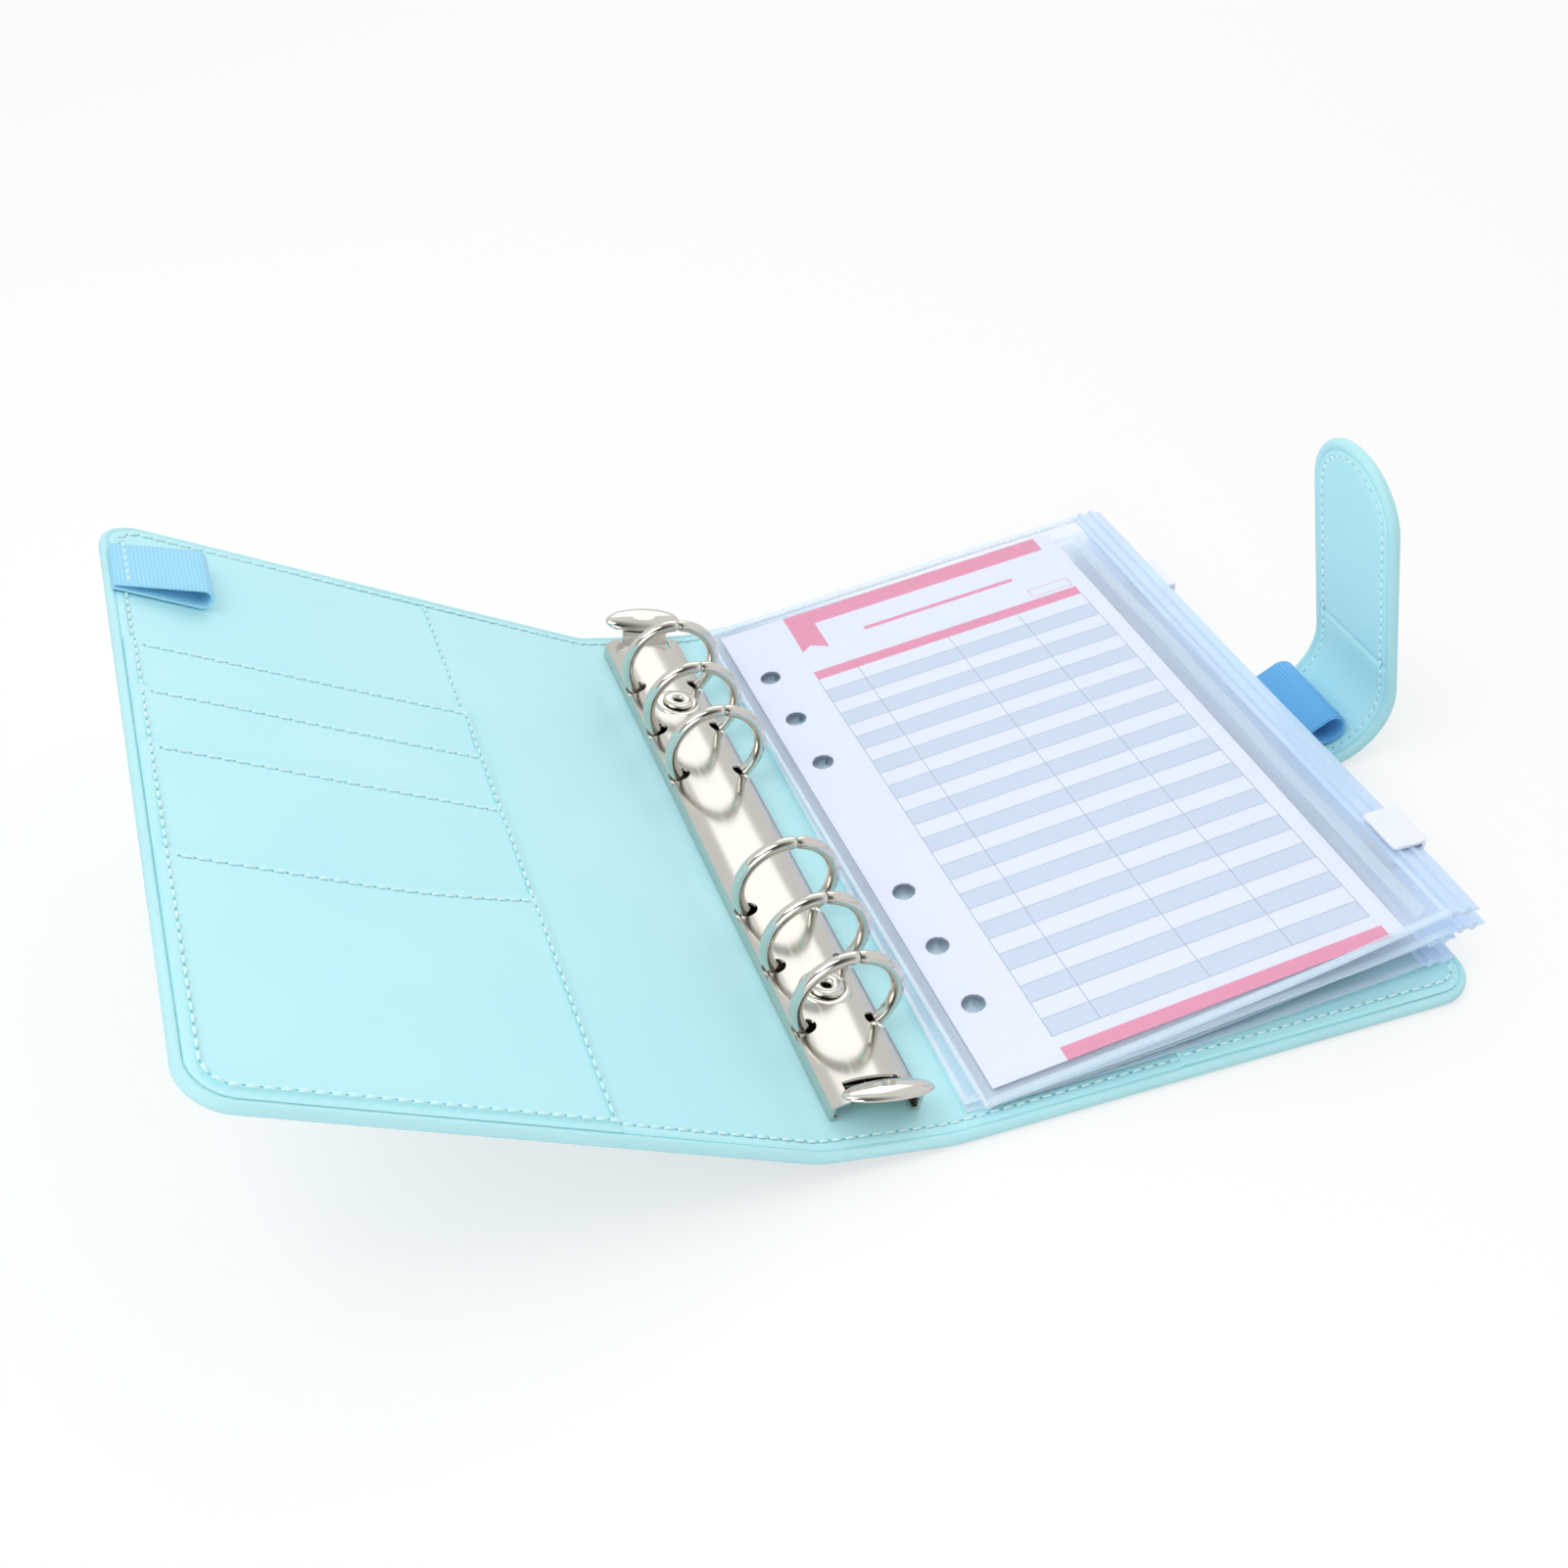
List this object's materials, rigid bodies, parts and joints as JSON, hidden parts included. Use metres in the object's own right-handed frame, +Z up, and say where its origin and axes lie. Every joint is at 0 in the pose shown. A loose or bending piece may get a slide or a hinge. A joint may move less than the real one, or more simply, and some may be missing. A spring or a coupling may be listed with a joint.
{
  "type": "ring binder planner cover",
  "caption": "Open leatherette ring binder planner cover with a spring ring mechanism, inner pockets, pen loops, a closing strap and loose clear zip pouches.",
  "frame": {"origin": "centre of the back cover's flat underside", "axes": "+X from the spine to the strap, +Y to the far end of the rings, +Z up from the table"},
  "size_m": [0.2983, 0.19, 0.0844],
  "materials": {
    "leather": "pale aqua grained leatherette",
    "lining": "pale aqua smooth leatherette with a fine linen grain",
    "board": "grey board",
    "nickel": "polished nickel-plated steel",
    "magnet": "plain steel",
    "elastic_light": "woven elastic",
    "elastic_blue": "woven elastic",
    "film": "clear soft plastic film",
    "paper": "matt printed paper",
    "slider": "white moulded plastic"
  },
  "bodies": {
    "back_cover": {"back_cover_skin": "leather", "back_cover_board": "board", "back_cover_lining": "lining", "back_pocket": "lining", "strap_root_outer": "leather", "strap_root_inner": "lining", "pen_loop_strap": "elastic_blue", "pouch_1": "film", "pouch_2": "film", "pouch_3": "film", "pouch_4": "film", "pouch_5": "film", "planner_sheet": "paper"},
    "spine": {"spine_skin": "leather", "spine_board": "board", "spine_lining": "lining", "ring_base_plate": "nickel", "rivet_top": "nickel", "rivet_bottom": "nickel"},
    "front_cover": {"front_cover_skin": "leather", "front_cover_board": "board", "front_cover_lining": "lining", "card_pocket_1": "lining", "card_pocket_2": "lining", "card_pocket_3": "lining", "big_pocket": "lining", "cover_magnet": "magnet", "pen_loop_front": "elastic_light"},
    "left_rings": {"toggle_plate_left": "nickel", "ring_left_1": "nickel", "ring_left_2": "nickel", "ring_left_3": "nickel", "ring_left_4": "nickel", "ring_left_5": "nickel", "ring_left_6": "nickel"},
    "right_rings": {"toggle_plate_right": "nickel", "ring_right_1": "nickel", "ring_right_2": "nickel", "ring_right_3": "nickel", "ring_right_4": "nickel", "ring_right_5": "nickel", "ring_right_6": "nickel"},
    "top_lever": {"lever_top": "nickel"},
    "bottom_lever": {"lever_bottom": "nickel"},
    "strap": {"strap_flap_outer": "leather", "strap_flap_inner": "lining", "strap_magnet": "magnet"},
    "upper_slider": {"slider_upper": "slider"},
    "lower_slider": {"slider_lower": "slider"}
  },
  "joints": [
    {"name": "spine_fold", "type": "hinge", "parent": "back_cover", "child": "spine", "pos_m": [-0.064, 0, 0.0015], "axis": [0, 1, 0], "range_deg": [-11.5, 50]},
    {"name": "front_fold", "type": "hinge", "parent": "spine", "child": "front_cover", "pos_m": [-0.09339, 0, 0.00751], "axis": [0, 1, 0], "range_deg": [-16.8, 63]},
    {"name": "ring_snap", "type": "hinge", "parent": "spine", "child": "left_rings", "pos_m": [-0.08686, 0, 0.01], "axis": [0, -1, 0], "range_deg": [0, 12]},
    {"name": "right_ring_snap", "type": "hinge", "parent": "spine", "child": "right_rings", "pos_m": [-0.06903, 0, 0.00636], "axis": [0, 1, 0], "range_deg": [0, 12]},
    {"name": "top_lever_press", "type": "hinge", "parent": "spine", "child": "top_lever", "pos_m": [-0.0776, 0.0835, 0.00984], "axis": [-0.9798, 0, 0.2002], "range_deg": [0, 25]},
    {"name": "bottom_lever_press", "type": "hinge", "parent": "spine", "child": "bottom_lever", "pos_m": [-0.0776, -0.0835, 0.00984], "axis": [0.9798, 0, -0.2002], "range_deg": [0, 25]},
    {"name": "strap_fold", "type": "hinge", "parent": "back_cover", "child": "strap", "pos_m": [0.08908, 0.003, 0.02811], "axis": [0, -1, 0], "range_deg": [-20, 70]},
    {"name": "upper_slider_travel", "type": "slide", "parent": "back_cover", "child": "upper_slider", "axis": [-0.0166, 0.9999, 0], "range_m": [-0.021, 0.139]},
    {"name": "lower_slider_travel", "type": "slide", "parent": "back_cover", "child": "lower_slider", "axis": [-0.0087, 1, 0], "range_m": [-0.14, 0.02]}
  ],
  "couplings": [
    {"joint": "right_ring_snap", "follows": "ring_snap", "ratio": 1},
    {"joint": "top_lever_press", "follows": "ring_snap", "ratio": 2.0833},
    {"joint": "bottom_lever_press", "follows": "ring_snap", "ratio": 2.0833}
  ]
}
